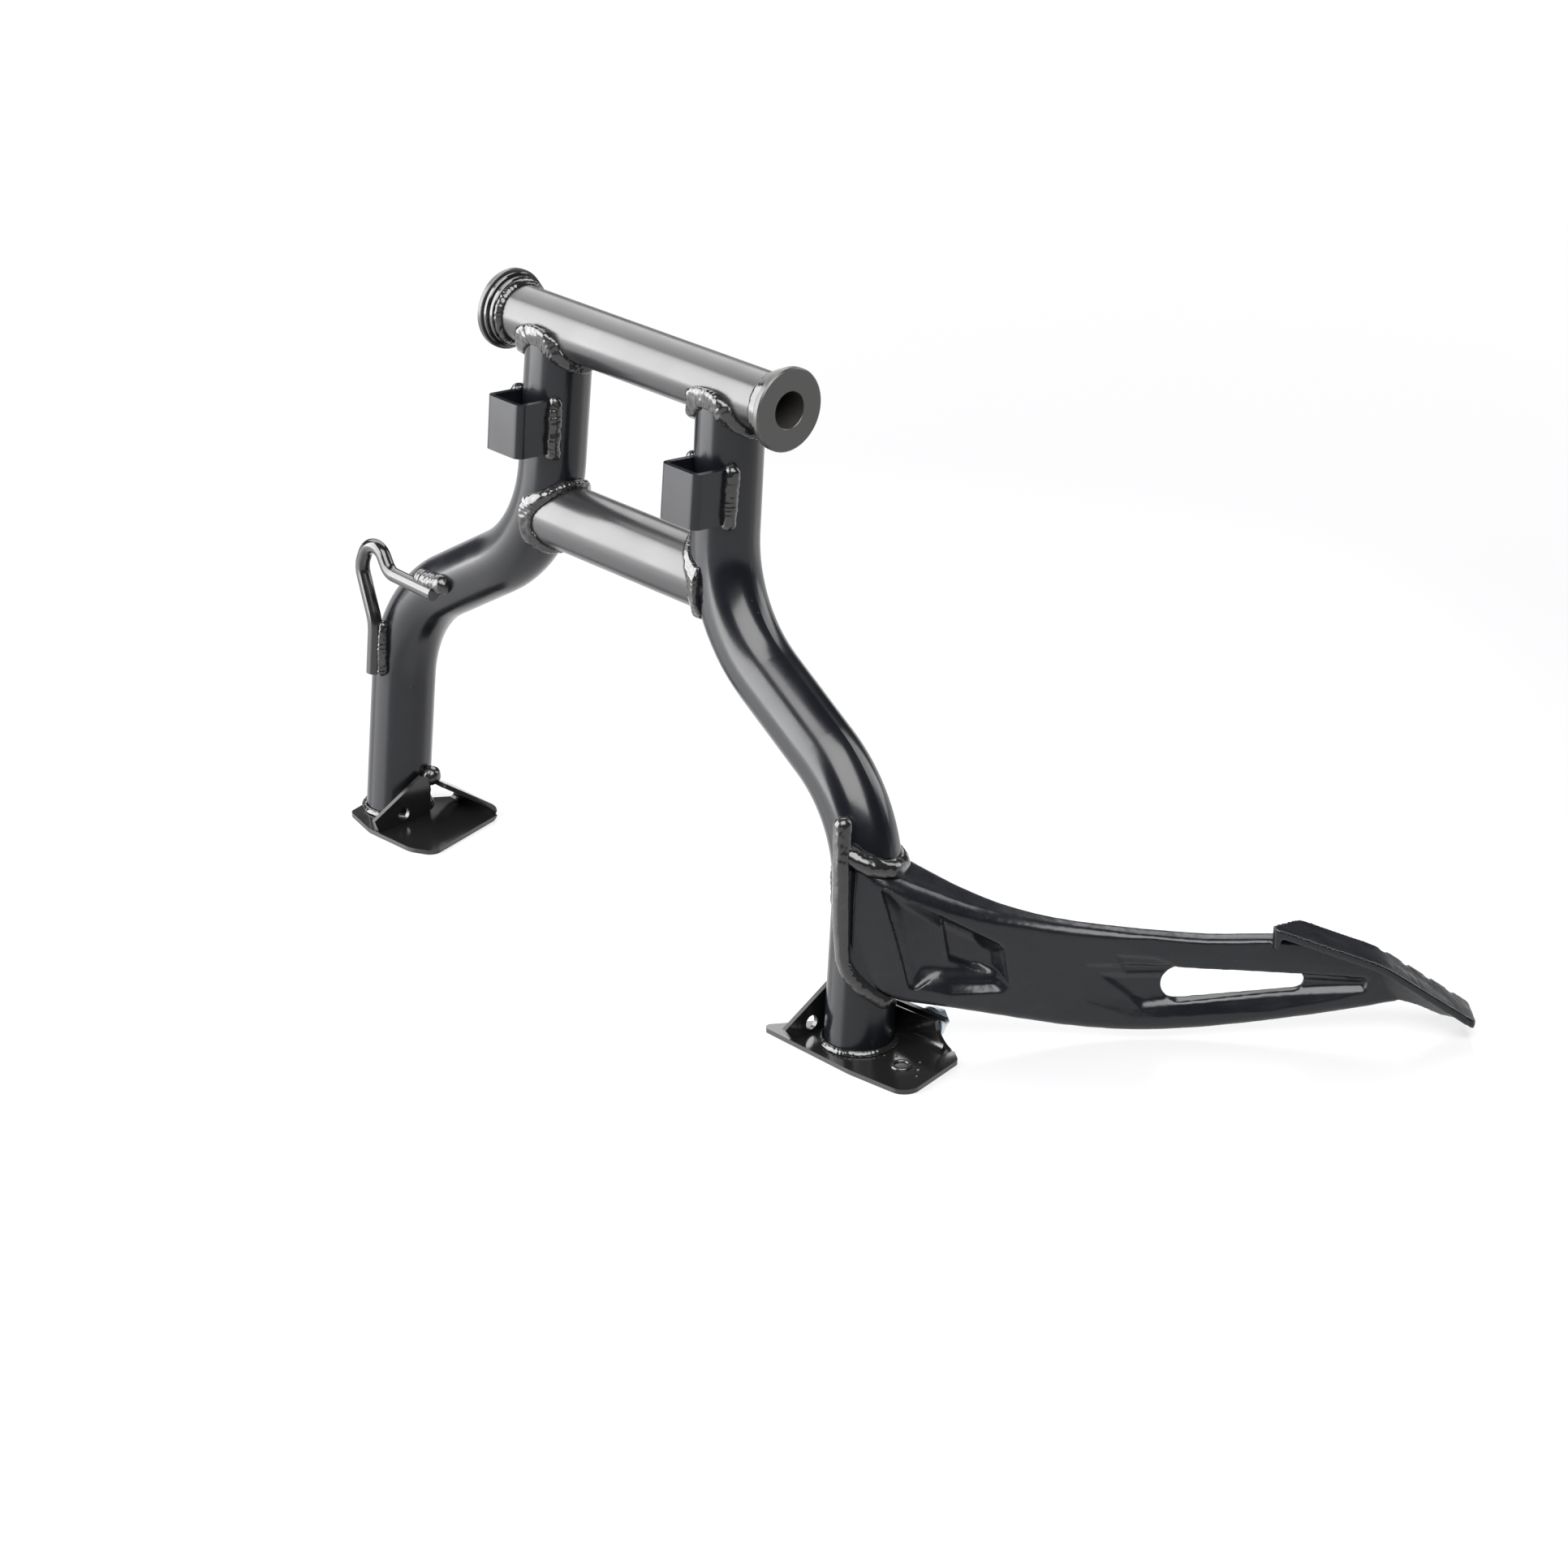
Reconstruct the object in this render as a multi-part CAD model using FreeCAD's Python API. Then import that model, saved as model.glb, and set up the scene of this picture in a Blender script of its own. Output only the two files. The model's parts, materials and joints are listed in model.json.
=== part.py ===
import FreeCAD, Part
import math
import os

V = FreeCAD.Vector
X_AXIS = V(1, 0, 0)
Y_AXIS = V(0, 1, 0)
Z_AXIS = V(0, 0, 1)
ORIGIN = V(0, 0, 0)

# Sizes in millimetres and degrees. X runs along the pivot and plus X is the lever side,
# Z is up, and the origin is the middle of the pivot axis.

# Pivot tube, collars and bushes
PIVOT_HALF = 107.5
PIVOT_R = 15.0
PIVOT_WALL = 2.5
BUSH_FLANGE_T = 3.4
BUSH_FLANGE_LIFT = 6.2
BUSH_WALL = 3.1
BUSH_BARREL = 24.0
BUSH_EDGE = 0.8
BUSH_LIP = 0.3
COLLAR_GAP = 0.6
COLLAR_LENGTH = 5.7
COLLAR_LIFT = 5.0
COLLAR_STEP = 1.4
COLLAR_GROOVE = 0.9
COLLAR_EDGE = 0.5
RING_WELD = 3.6

# Legs: the stand leans, so the legs are drawn upright and then turned
LEAN_DEG = 4.93
LEG_R = 17.5
LEG_WALL = 2.5
LEG_INSET = 42.1
LEG_SPREAD = 118.8
LEG_FOOT_DRIFT = 2.8
LEG_UPPER_Z = -115.5
LEG_UPPER_DRIFT = 2.6
LEG_LOWER_Z = -185.0
LEG_UPPER_BEND = 78.0
LEG_LOWER_BEND = 75.0
LEG_SPARE = 28.0
LEG_TOP_CUT = 1.0

# Cross tube
CROSS_R = 17.5
CROSS_WALL = 2.5
CROSS_Z = -99.0

# Stop brackets
BRACKET_W = 27.5
BRACKET_OUT = 2.3
BRACKET_REACH = 34.5
BRACKET_TOP = -34.6
BRACKET_H = 28.4
BRACKET_T = 3.0
BRACKET_BEND = 4.5

# Bent rod on the left leg
ROD_R = 4.0
ROD_BENDS = (24.0, 12.0, 9.5, 9.0)

# Foot plates and gussets
PLATE_TOP = -303.0
PLATE_T = 2.6
FOLD_R = 3.6
WALL_H = 14.0
WALL_TURN = 5.5
GUSSET_T = 2.5
GUSSET_IN = 22.6
GUSSET_HOLE_R = 3.8
GUSSET_SEAT_Y = -21.0
GUSSET_TOP = 24.4

# Foot lever
LEVER_Z = -235.0
LEVER_DEG = 49.0
LEVER_SIDE = 0.6
LEVER_BACK = 0.4
SLOT_LEFT_R = 9.6
SLOT_RIGHT_R = 5.4
LEVER_COLLAR_Z = -201.0
BLADE_T = 12.0
ROOT_FACE = 21.5
ROOT_S = 16.0
ROOT_TAPER = 0.207
COVE_R = 26.0
COVE_DEPTH = 6.5
WELL_DEPTH = 6.5
LEDGE_DEPTH = 3.6
PAD_T = 4.2
PAD_W = 23.0
PAD_BEND = 53.0
PAD_END = 304.0
TREAD_NOTCH = 3.2

# Stop tab behind the right foot's wall, with its screw and washer
TAB_T = 2.6
TAB_TOP = 1.4
TAB_LENGTH = 36.6
TAB_BODY = 29.5
BOLT_R = 3.5
BOLT_ALONG = 24.6
BOLT_DROP = 5.8
WASHER_R = 8.0
WASHER_T = 2.5
HEAD_FLATS = 11.0
HEAD_H = 5.5

# Weld beads
TUBE_WELD = 3.6
CROSS_WELD = 2.8
BRACKET_WELD = 2.8
FOOT_WELD = 3.2
GUSSET_WELD = 2.4
ROD_WELD_UPPER = 4.4
ROD_WELD_LOWER = 2.6
STRIP_WELD = 4.6
LEVER_WELD = 3.4

LEAN = math.radians(LEAN_DEG)
LEG_TOP_X = PIVOT_HALF - LEG_INSET
LEG_SPLAY_X = LEG_TOP_X + LEG_SPREAD
LEG_FOOT_X = LEG_SPLAY_X + LEG_FOOT_DRIFT
LEG_END_Z = PLATE_TOP - LEG_SPARE
BORE_R = PIVOT_R - PIVOT_WALL
BUSH_BORE_R = BORE_R - BUSH_WALL
TUBE_END = PIVOT_HALF - BUSH_FLANGE_T - COLLAR_GAP
COLLAR_INNER = TUBE_END - COLLAR_LENGTH


def lean(shape):
    """Turn a shape from the upright leg frame to the standing pose."""
    turned = shape.copy()
    turned.rotate(ORIGIN, X_AXIS, -LEAN_DEG)
    return turned


def mirror_x(shape):
    return shape.mirror(ORIGIN, X_AXIS)


def single(shape):
    """The largest solid of a shape."""
    return max(shape.Solids, key=lambda solid: solid.Volume)


def save(name, shape):
    single(shape).exportStep("parts/" + name + ".step")


def block(x0, x1, y0, y1, z0, z1):
    return Part.makeBox(x1 - x0, y1 - y0, z1 - z0, V(x0, y0, z0))


def polygon_face(corners):
    return Part.Face(Part.makePolygon(corners + [corners[0]]))


def prism(points, z0, height):
    """Upright prism from an (x, y) outline."""
    return polygon_face([V(x, y, z0) for x, y in points]).extrude(V(0, 0, height))


def turned(points):
    """Solid from an (x, radius) outline turned about the pivot axis."""
    face = polygon_face([V(x, 0, radius) for x, radius in points])
    return face.revolve(ORIGIN, X_AXIS, 360)


def corner_arc(before, corner, after, radius):
    """Tangent arc that rounds one corner: its first, middle and last point."""
    back = (before - corner).normalize()
    ahead = (after - corner).normalize()
    angle = back.getAngle(ahead)
    reach = radius / math.tan(angle / 2.0)
    bisector = (back + ahead).normalize()
    centre = corner + bisector * (radius / math.sin(angle / 2.0))
    return corner + back * reach, centre - bisector * radius, corner + ahead * reach


def rounded_path(points, radii):
    """Wire of straight runs joined by tangent arcs."""
    edges = []
    start = points[0]
    for i, radius in enumerate(radii):
        first, middle, last = corner_arc(points[i], points[i + 1], points[i + 2], radius)
        edges.append(Part.makeLine(start, first))
        edges.append(Part.Arc(first, middle, last).toShape())
        start = last
    edges.append(Part.makeLine(start, points[-1]))
    return Part.Wire(edges)


def rounded_prism(points, radii, z0, height):
    """Upright prism whose outline corners are rounded."""
    corners = [V(x, y, z0) for x, y in points]
    count = len(corners)
    arcs = []
    for i in range(count):
        arcs.append(corner_arc(corners[i - 1], corners[i], corners[(i + 1) % count], radii[i]))
    edges = []
    for i in range(count):
        first, middle, last = arcs[i]
        edges.append(Part.Arc(first, middle, last).toShape())
        edges.append(Part.makeLine(last, arcs[(i + 1) % count][0]))
    return Part.Face(Part.Wire(edges)).extrude(V(0, 0, height))


def round_sweep(path, radius):
    """Solid of round section along a wire."""
    edge = path.Edges[0]
    begin = edge.valueAt(edge.FirstParameter)
    tangent = edge.tangentAt(edge.FirstParameter)
    disc = Part.Face(Part.Wire(Part.makeCircle(radius, begin, tangent)))
    return path.makePipe(disc)


def folded_sheet(points, radii, thickness, height):
    """Sheet folded along upright lines: a flat line given a thickness and a height."""
    line = rounded_path(points, radii)
    sides = []
    for offset in (thickness / 2.0, -thickness / 2.0):
        side = line.makeOffset2D(offset, openResult=True)
        ends = [side.OrderedVertexes[0].Point, side.OrderedVertexes[-1].Point]
        if ends[0].distanceToPoint(points[0]) > ends[1].distanceToPoint(points[0]):
            ends.reverse()
        sides.append((side, ends))
    caps = [Part.makeLine(sides[0][1][i], sides[1][1][i]) for i in (0, 1)]
    edges = sides[0][0].Edges + sides[1][0].Edges + caps
    return Part.Face(Part.Wire(Part.__sortEdges__(edges))).extrude(V(0, 0, height))


def bead(points, radius, cutters):
    """Weld bead with round ends along a bent line, cut back to the pieces that it joins."""
    bends = []
    for i in range(1, len(points) - 1):
        run = min(points[i].distanceToPoint(points[i - 1]), points[i].distanceToPoint(points[i + 1]))
        turn = (points[i] - points[i - 1]).getAngle(points[i + 1] - points[i])
        bends.append(0.45 * run / math.tan(turn / 2.0))
    body = round_sweep(rounded_path(points, bends), radius)
    for end in (points[0], points[-1]):
        body = body.fuse(Part.makeSphere(radius, end))
    return trimmed(body.removeSplitter(), cutters)


def trimmed(body, cutters):
    for cutter in cutters:
        body = body.cut(cutter)
    return single(body)


# Pivot
def make_pivot_tube():
    start = V(-TUBE_END, 0, 0)
    outer = Part.makeCylinder(PIVOT_R, 2 * TUBE_END, start, X_AXIS)
    return outer.cut(Part.makeCylinder(BORE_R, 2 * TUBE_END, start, X_AXIS))


def make_collar():
    """Stepped collar on the right end of the pivot tube."""
    outer = PIVOT_R + COLLAR_LIFT
    inner = outer - COLLAR_STEP
    groove = COLLAR_INNER + COLLAR_LENGTH / 2.0
    return turned([
        (COLLAR_INNER, PIVOT_R),
        (COLLAR_INNER, inner - COLLAR_EDGE),
        (COLLAR_INNER + COLLAR_EDGE, inner),
        (groove - COLLAR_GROOVE / 2.0, inner),
        (groove, inner - COLLAR_GROOVE),
        (groove + COLLAR_GROOVE / 2.0, outer - COLLAR_EDGE),
        (groove + COLLAR_GROOVE, outer),
        (TUBE_END - COLLAR_EDGE, outer),
        (TUBE_END, outer - COLLAR_EDGE),
        (TUBE_END, PIVOT_R),
    ])


def make_bush():
    """Flanged bush pressed into the right end of the pivot tube."""
    flange_r = PIVOT_R + BUSH_FLANGE_LIFT
    flange_back = PIVOT_HALF - BUSH_FLANGE_T
    barrel_end = PIVOT_HALF - BUSH_BARREL
    return turned([
        (barrel_end, BUSH_BORE_R),
        (barrel_end, BORE_R - BUSH_EDGE),
        (barrel_end + BUSH_EDGE, BORE_R),
        (flange_back, BORE_R),
        (flange_back, flange_r - BUSH_LIP),
        (flange_back + BUSH_LIP, flange_r),
        (PIVOT_HALF - BUSH_EDGE, flange_r),
        (PIVOT_HALF, flange_r - BUSH_EDGE),
        (PIVOT_HALF, BUSH_BORE_R + BUSH_LIP),
        (PIVOT_HALF - BUSH_LIP, BUSH_BORE_R),
    ])


def make_collar_weld():
    """Weld ring behind the right collar."""
    start = V(COLLAR_INNER - RING_WELD, 0, PIVOT_R)
    crest = V(COLLAR_INNER - 0.4 * RING_WELD, 0, PIVOT_R + 0.6 * RING_WELD)
    end = V(COLLAR_INNER, 0, PIVOT_R + 0.72 * RING_WELD)
    corner = V(COLLAR_INNER, 0, PIVOT_R)
    edges = [
        Part.Arc(start, crest, end).toShape(),
        Part.makeLine(end, corner),
        Part.makeLine(corner, start),
    ]
    return Part.Face(Part.Wire(edges)).revolve(ORIGIN, X_AXIS, 360)


# Legs and cross tube, in the upright frame
def leg_path():
    points = [
        V(LEG_TOP_X, 0, 6.0),
        V(LEG_TOP_X + LEG_UPPER_DRIFT, 0, LEG_UPPER_Z),
        V(LEG_SPLAY_X, 0, LEG_LOWER_Z),
        V(LEG_FOOT_X, 0, LEG_END_Z),
    ]
    return rounded_path(points, [LEG_UPPER_BEND, LEG_LOWER_BEND])


def pivot_body(radius):
    return Part.makeCylinder(radius, 2 * TUBE_END, V(-TUBE_END, 0, 0), X_AXIS)


def cross_body(radius):
    half = LEG_TOP_X + LEG_R
    return Part.makeCylinder(radius, 2 * half, V(-half, 0, CROSS_Z), X_AXIS)


def make_leg():
    """Right leg: coped to the pivot tube, cut level on the foot plate."""
    bore = round_sweep(leg_path(), LEG_R - LEG_WALL)
    tube = leg_up.cut(bore).cut(pivot_body(PIVOT_R))
    above = block(0, 2 * LEG_TOP_X, -2 * LEG_R, 2 * LEG_R, LEG_TOP_CUT, 40)
    return single(lean(tube.cut(above)).cut(below_plate))


def make_cross_tube():
    tube = cross_body(CROSS_R).cut(cross_body(CROSS_R - CROSS_WALL))
    tube = tube.cut(leg_up).cut(leg_up_left)
    middle = min(tube.Solids, key=lambda solid: abs(solid.CenterOfMass.x))
    return lean(middle)


def make_bracket():
    """Right stop bracket: folded sheet, open at the top and the bottom."""
    x = LEG_TOP_X + BRACKET_OUT
    side = (BRACKET_W - BRACKET_T) / 2.0
    front = -BRACKET_REACH + BRACKET_T / 2.0
    line = [V(x - side, 0, 0), V(x - side, front, 0), V(x + side, front, 0), V(x + side, 0, 0)]
    fold = BRACKET_BEND - BRACKET_T / 2.0
    sheet = folded_sheet(line, [fold, fold], BRACKET_T, BRACKET_H)
    sheet.translate(V(0, 0, BRACKET_TOP - BRACKET_H))
    return single(sheet.cut(leg_up))


def make_hook_rod():
    """Bent rod on the front of the left leg."""
    y = -(LEG_R + ROD_R - 0.1)
    foot_x = -LEG_SPLAY_X
    points = [
        V(foot_x - 0.4, y, -221.0),
        V(foot_x, y, -192.0),
        V(foot_x - 13.6, y, -163.0),
        V(foot_x - 4.2, y, -138.5),
        V(foot_x + 11.4, y, -160.2),
        V(foot_x + 49.7, y, -161.0),
    ]
    return single(round_sweep(rounded_path(points, ROD_BENDS), ROD_R).cut(leg_up_left))


# Feet, in the standing pose
def make_left_foot():
    """Left foot: a base that narrows to the back, curls up and returns to the leg."""
    back = foot_y + 39.5
    side = [(foot_y - 44.0, PLATE_TOP - PLATE_T / 2.0), (back, PLATE_TOP - PLATE_T / 2.0),
            (foot_y + 10.0, PLATE_TOP + 18.0)]
    line = [V(y, z, 0) for y, z in side]
    sheet = folded_sheet(line, [FOLD_R], PLATE_T, 120.0)
    sheet.rotate(ORIGIN, V(1, 1, 1), 120)
    sheet.translate(V(-foot_x - 36.0, 0, 0))
    plan = [(-10.0, -25.5), (15.0, -31.5), (49.0, -30.0), (62.0, -23.0), (50.0, 26.0),
            (45.0, 48.0), (17.0, 48.0), (12.0, 28.0), (-14.0, -10.0)]
    radii = [4.0, 14.0, 14.0, 7.0, 20.0, 3.0, 3.0, 14.0, 4.0]
    outline = [(-foot_x + x, foot_y + y) for x, y in plan]
    foot = sheet.common(rounded_prism(outline, radii, PLATE_TOP - 30.0, 60.0))
    upper = block(-foot_x - 60, -foot_x + 90, foot_y - 15, foot_y + 70, PLATE_TOP + 0.01, PLATE_TOP + 40)
    kept = [(11.0, -4.0), (29.0, -4.0), (29.0, 12.0), (51.0, 36.0), (51.0, 56.0), (11.0, 56.0)]
    strip = prism([(-foot_x + x, foot_y + y) for x, y in kept], PLATE_TOP - 10.0, 50.0)
    returned = foot.common(upper).common(strip)
    foot = foot.cut(upper).fuse(returned).removeSplitter()
    return single(foot.cut(mirror_x(leg_above)))


def to_wall(shape):
    """Move a shape from the wall's own axes (along, back, up) to the right foot."""
    moved = shape.copy()
    moved.rotate(ORIGIN, Z_AXIS, WALL_TURN)
    moved.translate(V(foot_x - 1.0, foot_y + 21.5, PLATE_TOP))
    return moved


def make_right_foot():
    """Right foot: a wider base with a short upright wall behind the leg."""
    plan = [(-44.0, -26.4), (20.0, -25.8), (57.0, -21.5), (49.0, 21.0), (42.0, 25.6),
            (-7.0, 21.0), (-29.0, -4.0)]
    radii = [3.0, 40.0, 9.0, 4.0, 3.0, 14.0, 20.0]
    outline = [(foot_x + x, foot_y + y) for x, y in plan]
    base = rounded_prism(outline, radii, PLATE_TOP - PLATE_T, PLATE_T)
    low = -PLATE_T / 2.0
    corners = [V(0, 0, low), V(41.5, 0, low), V(41.0, 0, 0.6), V(32.5, 0, WALL_H), V(0, 0, WALL_H)]
    waist = V(34.6, 0, 0.45 * WALL_H)
    edges = [
        Part.makeLine(corners[0], corners[1]),
        Part.makeLine(corners[1], corners[2]),
        Part.Arc(corners[2], waist, corners[3]).toShape(),
        Part.makeLine(corners[3], corners[4]),
        Part.makeLine(corners[4], corners[0]),
    ]
    wall = to_wall(Part.Face(Part.Wire(edges)).extrude(V(0, -PLATE_T, 0)))
    inside = -PLATE_T - FOLD_R
    cove = block(0, 38.0, inside, -PLATE_T, 0, FOLD_R)
    cove = to_wall(cove.cut(Part.makeCylinder(FOLD_R, 38.0, V(0, inside, FOLD_R), X_AXIS)))
    return single(base.fuse([wall, cove]).removeSplitter().cut(leg_above))


def make_gusset(front, nose, nose_h):
    """Right-hand gusset: front and nose are its low corners' places before the leg axis."""
    x = foot_x - GUSSET_IN
    seat = GUSSET_SEAT_Y
    corners = [
        V(x, foot_y - front, PLATE_TOP),
        V(x, foot_y - nose, PLATE_TOP + nose_h),
        V(x, seat - 5.0, PLATE_TOP + GUSSET_TOP),
        V(x, seat, PLATE_TOP + GUSSET_TOP - 2.0),
        V(x, seat, PLATE_TOP),
    ]
    body = polygon_face(corners).extrude(V(GUSSET_T, 0, 0))
    hole = Part.makeCylinder(GUSSET_HOLE_R, GUSSET_T, V(x, foot_y - 13.1, PLATE_TOP + 5.9), X_AXIS)
    return single(body.cut(hole).cut(leg_above))


# Foot lever, drawn along X and then turned
def to_lever(shape):
    """Move a shape from lever axes (along, across, up) to the right leg."""
    moved = shape.copy()
    moved.translate(V(-LEVER_BACK, LEVER_SIDE, 0))
    moved.rotate(ORIGIN, Z_AXIS, LEVER_DEG)
    moved.translate(V(lever_x, lever_y, 0))
    return moved


def lever_section(s, top, bottom, thickness, top_r, low_r):
    """Rounded rectangle across the lever at distance s."""
    y = thickness / 2.0
    corners = [V(s, -y, top), V(s, y, top), V(s, y, bottom), V(s, -y, bottom)]
    radii = [top_r, top_r, low_r, low_r]
    arcs = []
    for i in range(4):
        arcs.append(corner_arc(corners[i - 1], corners[i], corners[(i + 1) % 4], radii[i]))
    edges = []
    for i in range(4):
        first, middle, last = arcs[i]
        edges.append(Part.Arc(first, middle, last).toShape())
        edges.append(Part.makeLine(last, arcs[(i + 1) % 4][0]))
    return Part.Wire(edges)


def across(points, y0, y1):
    """Prism across the lever from an (s, z) outline."""
    return polygon_face([V(s, y0, z) for s, z in points]).extrude(V(0, y1 - y0, 0))


def lever_arm():
    """Forged arm: wide at the leg, a thin deep blade further out, thinnest under the tread."""
    rows = [
        (-10.0, -196.5, -256.5, 44.0, 7.0, 4.0),
        (2.0, -202.0, -268.5, 44.0, 8.0, 4.0),
        (16.0, -209.0, -276.5, 43.0, 9.0, 4.5),
        (33.0, -218.0, -281.5, 36.0, 9.0, 5.0),
        (54.0, -228.2, -287.5, 27.0, 8.0, 5.0),
        (74.0, -235.5, -293.2, 19.0, 6.5, 5.0),
        (94.0, -240.9, -297.2, 14.5, 5.5, 4.5),
        (135.0, -247.6, -301.3, BLADE_T, 4.0, 4.0),
        (175.0, -251.3, -299.8, BLADE_T, 4.0, 4.0),
        (215.0, -252.6, -295.2, BLADE_T, 4.0, 4.0),
        (240.0, -258.9, -291.6, BLADE_T, 4.0, 4.0),
        (254.0, -264.6, -289.2, 10.4, 3.2, 3.2),
        (265.0, -271.2, -288.2, 6.2, 2.4, 2.4),
    ]
    return Part.makeLoft([lever_section(*row) for row in rows], True, False)


def ruled_body(sections):
    """Solid with flat sides through closed polygons of the same count of corners."""
    wires = [Part.makePolygon(corners + [corners[0]]) for corners in sections]
    return Part.makeLoft(wires, True, True)


def lever_flare():
    """Flared sides that carry the tread's edges down to the thin web."""
    rows = [
        (252.0, -268.0, -281.0, 2.4, 1.6),
        (262.0, -269.4, -286.0, 8.8, 2.4),
        (276.0, -278.3, -290.4, 10.9, 2.0),
        (287.0, -285.6, -295.8, 10.9, 1.8),
        (PAD_END - 3.0, -295.0, -299.6, 10.9, 1.6),
    ]
    sections = []
    for s, top, low, wide, narrow in rows:
        sections.append([V(s, -wide, top), V(s, wide, top), V(s, narrow, low), V(s, -narrow, low)])
    return ruled_body(sections)


def lever_slot():
    """Long slot through the blade, wider towards the leg."""
    left = V(156.4, -BLADE_T, -276.6)
    right = V(212.8, -BLADE_T, -275.6)
    lean_top = 0.055
    lean_low = 0.09
    middle = across([
        (left.x + SLOT_LEFT_R * lean_top, left.z + SLOT_LEFT_R),
        (right.x + SLOT_RIGHT_R * lean_top, right.z + SLOT_RIGHT_R),
        (right.x - SLOT_RIGHT_R * lean_low, right.z - SLOT_RIGHT_R),
        (left.x - SLOT_LEFT_R * lean_low, left.z - SLOT_LEFT_R),
    ], -BLADE_T, BLADE_T)
    ends = Part.makeCylinder(SLOT_LEFT_R, 2 * BLADE_T, left, Y_AXIS)
    ends = ends.fuse(Part.makeCylinder(SLOT_RIGHT_R, 2 * BLADE_T, right, Y_AXIS))
    return ends.fuse(middle)


def rib_bevel():
    """Bevel along the outer top edge of the blade, growing from nothing."""
    face = -BLADE_T / 2.0
    rows = [(116.0, -247.0, 0.02), (141.0, -258.8, 2.6), (244.0, -266.1, 2.6)]
    sections = []
    for s, crease, depth in rows:
        top = -236.0
        sections.append([V(s, face - 4.0, crease), V(s, face, crease), V(s, face + depth, top),
                         V(s, face - 4.0, top)])
    return ruled_body(sections)


def slot_recess():
    """Recess round the slot: a ramp from the root, a steep top wall and a rib's slope below."""
    face = -BLADE_T / 2.0
    rows = [
        (109.0, -283.4, -282.8, -282.2, -263.0, 0.01, 0.02),
        (133.0, -293.6, -288.8, -283.6, -264.0, 1.1, 1.9),
        (149.0, -293.7, -288.7, -281.8, -265.2, 1.6, 3.4),
        (200.0, -291.0, -287.0, -279.8, -268.8, 1.6, 3.4),
        (226.0, -286.4, -283.4, -278.4, -270.6, 1.3, 3.0),
        (249.0, -281.4, -280.2, -278.6, -272.6, 0.5, 1.4),
    ]
    sections = []
    for s, crease, crest, floor, top, crest_y, floor_y in rows:
        sections.append([
            V(s, face - 4.0, crease), V(s, face, crease), V(s, face + crest_y, crest),
            V(s, face + floor_y, floor), V(s, face + floor_y, top - 0.8), V(s, face, top),
            V(s, face - 4.0, top),
        ])
    return ruled_body(sections)


def on_root(s, z, depth):
    """Point of the root's tapering outer face, pushed in by a depth."""
    return V(s, -ROOT_FACE + (s - ROOT_S) * ROOT_TAPER + depth, z)


def drafted(outer, inner, depth):
    """Pocket in the root's outer face whose walls slope from one outline to a smaller one."""
    slope = 2.0 / depth
    mouth = []
    for (s, z), (t, w) in zip(outer, inner):
        mouth.append(on_root(s - (t - s) * slope, z - (w - z) * slope, -2.0))
    return ruled_body([mouth, [on_root(s, z, depth) for s, z in inner]])


def lever_pocket():
    """Stepped pocket of the root: a cove, a deeper well beside it and a ledge below."""
    top = V(6.8, 0, -212.1)
    low = V(20.7, 0, -267.0)
    way = (low - top).normalize()
    reach = math.sqrt(2 * COVE_R * COVE_DEPTH - COVE_DEPTH ** 2)
    centre = top + V(reach, 0, 0)
    lift = on_root(centre.x, 0, COVE_DEPTH - COVE_R).y
    cove = Part.makeCylinder(COVE_R, 90.0, V(centre.x, lift, centre.z) - way * 15.0, way)
    outline = [(6.8, -212.1), (37.5, -231.6), (40.8, -262.0), (24.0, -268.6), (20.7, -267.0)]
    cove = cove.common(across(outline, -40.0, 0.0))
    well = drafted([(35.5, -229.6), (68.9, -250.9), (72.0, -272.8), (56.0, -266.8), (39.5, -260.0)],
                   [(37.5, -235.0), (52.5, -243.0), (56.0, -262.4), (51.0, -261.6), (41.5, -256.6)],
                   WELL_DEPTH)
    ledge = drafted([(20.4, -266.4), (41.8, -274.6), (68.7, -276.2), (72.2, -272.8), (57.4, -262.0),
                     (24.0, -250.0)],
                    [(27.0, -262.0), (42.4, -269.0), (63.0, -271.8), (66.0, -269.8), (57.4, -258.0),
                     (28.0, -250.0)],
                    LEDGE_DEPTH)
    return [cove, well, ledge]


def tread_pad():
    """Bent tread across the top of the tip, notched along its far edge, with a short heel."""
    half = PAD_W / 2.0
    line = [V(192.0, -240.8, 0), V(255.3, -265.4, 0), V(PAD_END, -298.0, 0)]
    sheet = folded_sheet(line, [PAD_BEND], PAD_T, PAD_W)
    sheet.rotate(ORIGIN, X_AXIS, 90)
    sheet.translate(V(0, half, 0))
    heel = across([(196.4, -253.4), (198.4, -244.0), (202.0, -245.0), (204.5, -249.0),
                   (203.0, -254.0)], -half, half)
    plan = rounded_prism([(197.0, -half), (PAD_END, -half), (PAD_END, half), (216.0, half)],
                         [3.0, 3.0, 3.0, 8.0], -320.0, 90.0)
    pad = sheet.fuse(heel).common(plan)
    for s, z in ((259.0, -266.2), (270.5, -274.0), (282.0, -281.7), (293.5, -289.4)):
        notch = Part.makeBox(TREAD_NOTCH, 4.0, TREAD_NOTCH,
                             V(-TREAD_NOTCH / 2.0, 0, -TREAD_NOTCH / 2.0))
        notch.rotate(ORIGIN, Y_AXIS, 80)
        notch.translate(V(s, half - 2.2, z + 0.6))
        pad = pad.cut(notch)
    return pad


def make_lever():
    arm = to_lever(lever_arm()).cut(leg_outer)
    for cutter in (rib_bevel(), slot_recess()):
        arm = arm.cut(to_lever(cutter)).cut(to_lever(cutter.mirror(ORIGIN, Y_AXIS)))
    for cutter in [lever_slot()] + lever_pocket():
        arm = arm.cut(to_lever(cutter))
    return single(arm.fuse([to_lever(lever_flare()), to_lever(tread_pad())]).removeSplitter())


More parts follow.
